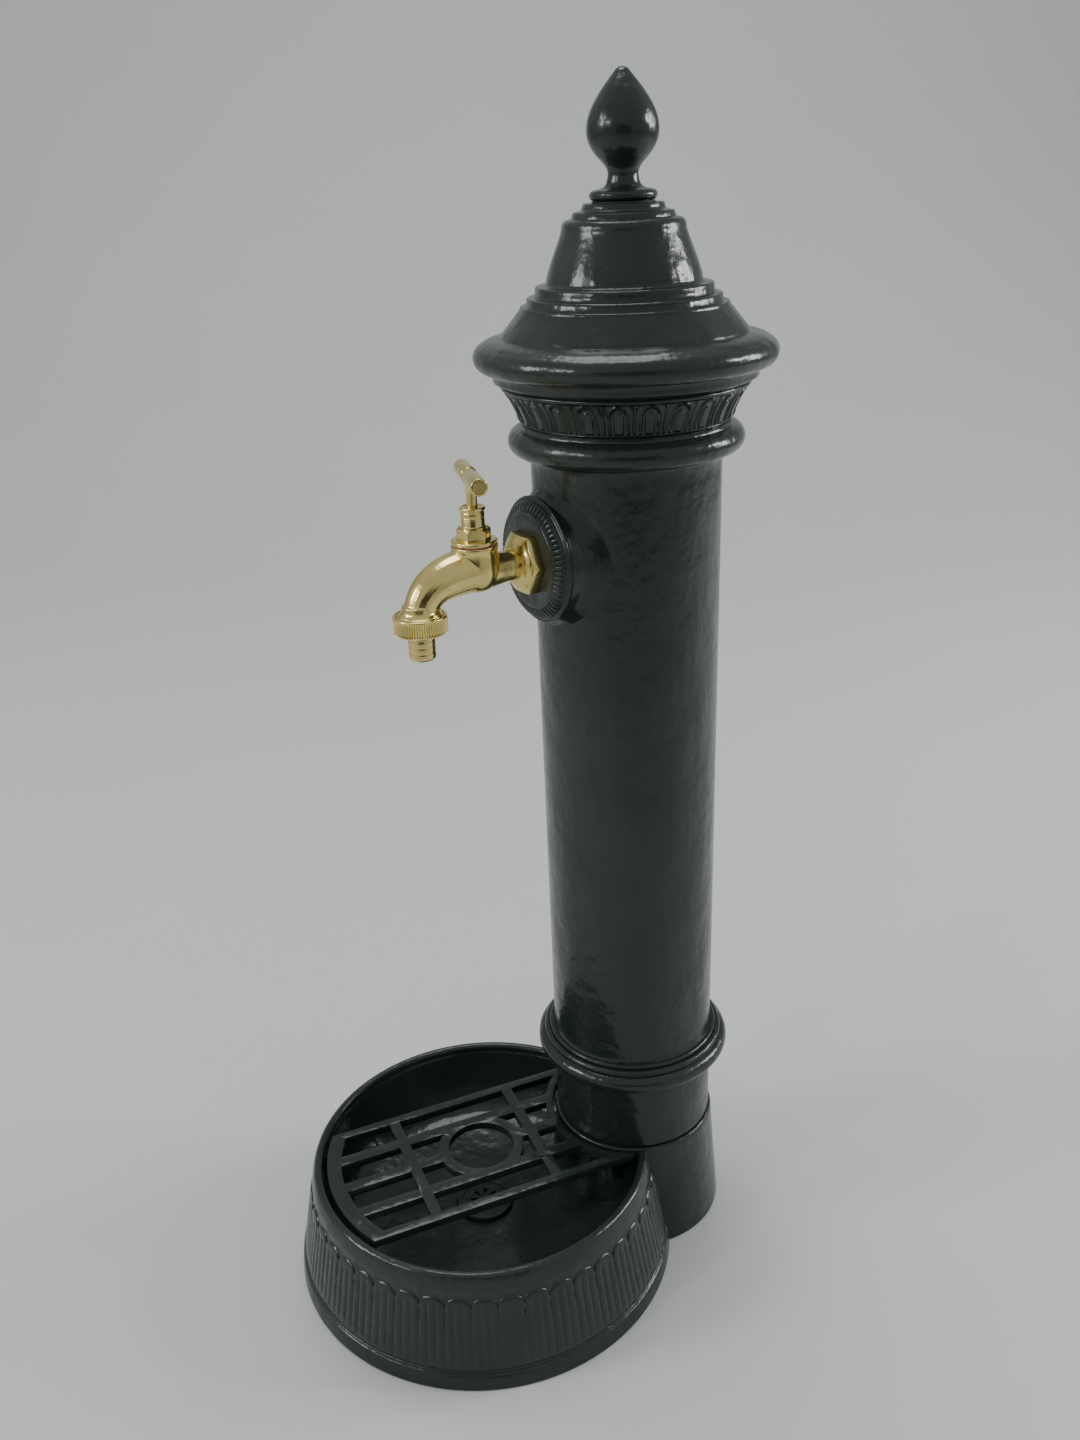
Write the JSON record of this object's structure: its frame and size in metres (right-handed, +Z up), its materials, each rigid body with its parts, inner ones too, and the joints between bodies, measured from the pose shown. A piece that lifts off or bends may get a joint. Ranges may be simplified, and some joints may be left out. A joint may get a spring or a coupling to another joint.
{
  "type": "drinking fountain",
  "caption": "Cast-iron column drinking fountain with a brass bib tap over a round basin with a grate, a moulded domed cap and a bud finial.",
  "frame": {"origin": "axis of the supply inlet, which is the column's axis, at the level of the ground", "axes": "+Z up along the column, -Y towards the basin, +X to the right of someone who looks along +Y"},
  "size_m": [0.2604, 0.3332, 0.7469],
  "materials": {
    "enamel": "dark green gloss enamel on cast iron",
    "brass": "polished brass",
    "rubber": "black rubber",
    "fibre": "red fibre washer",
    "zinc_steel": "zinc plated steel"
  },
  "bodies": {
    "fountain": {"base_casting": "enamel", "seat_gasket": "rubber", "column_bolts": "zinc_steel", "bolt_washers": "zinc_steel", "column": "enamel", "waste_body": "enamel", "waste_gasket": "rubber", "waste_nut": "brass", "strainer": "enamel", "strainer_screw": "enamel", "reducing_bush": "brass", "back_nut": "brass", "barrel_nipple": "zinc_steel", "supply_elbow": "brass", "riser_pipe": "zinc_steel", "inlet_coupling": "brass", "pipe_clip": "zinc_steel", "clip_stud": "zinc_steel", "tap_body": "brass", "bonnet_gasket": "fibre", "bonnet": "brass", "gland_packing": "rubber", "gland_nut": "brass"},
    "jumper": {"jumper_valve": "brass", "tap_washer": "rubber", "washer_nut": "brass"},
    "spindle": {"spindle": "brass", "tee_handle": "brass"},
    "hose_tail": {"hose_tail": "brass", "hose_washer": "rubber"},
    "union_nut": {"union_nut": "brass"},
    "cap": {"cap": "enamel"},
    "finial_washer": {"finial_washer": "rubber"},
    "finial": {"finial": "enamel", "finial_stud": "zinc_steel"},
    "grate": {"grate": "enamel"}
  },
  "joints": [
    {"name": "jumper_lift", "type": "slide", "parent": "fountain", "child": "jumper", "axis": [0, 0, 1], "range_m": [0, 0.0035]},
    {"name": "handle_turn", "type": "hinge", "parent": "jumper", "child": "spindle", "pos_m": [0.01422, -0.10121, 0.5473], "axis": [0, 0, 1], "range_deg": [0, 630]},
    {"name": "tail_drop", "type": "slide", "parent": "fountain", "child": "hose_tail", "axis": [0, 0, -1], "range_m": [0, 0.0036]},
    {"name": "nut_turn", "type": "hinge", "parent": "hose_tail", "child": "union_nut", "pos_m": [0.01929, -0.13725, 0.4721], "axis": [0, 0, -1], "range_deg": [0, 720]},
    {"name": "cap_lift", "type": "slide", "parent": "fountain", "child": "cap", "axis": [0, 0, 1], "range_m": [0, 0.03]},
    {"name": "finial_rise", "type": "slide", "parent": "cap", "child": "finial_washer", "axis": [0, 0, 1], "range_m": [0, 0.012]},
    {"name": "finial_turn", "type": "hinge", "parent": "finial_washer", "child": "finial", "pos_m": [0, 0, 0.6821], "axis": [0, 0, 1], "range_deg": [0, 2880]},
    {"name": "grate_lift", "type": "slide", "parent": "fountain", "child": "grate", "axis": [0, -0.342, 0.9397], "range_m": [0, 0.12]}
  ],
  "couplings": [
    {"joint": "handle_turn", "follows": "jumper_lift", "rad_per_m": 3141.4},
    {"joint": "nut_turn", "follows": "tail_drop", "rad_per_m": 3463.6},
    {"joint": "finial_turn", "follows": "finial_rise", "rad_per_m": 4188.6}
  ]
}
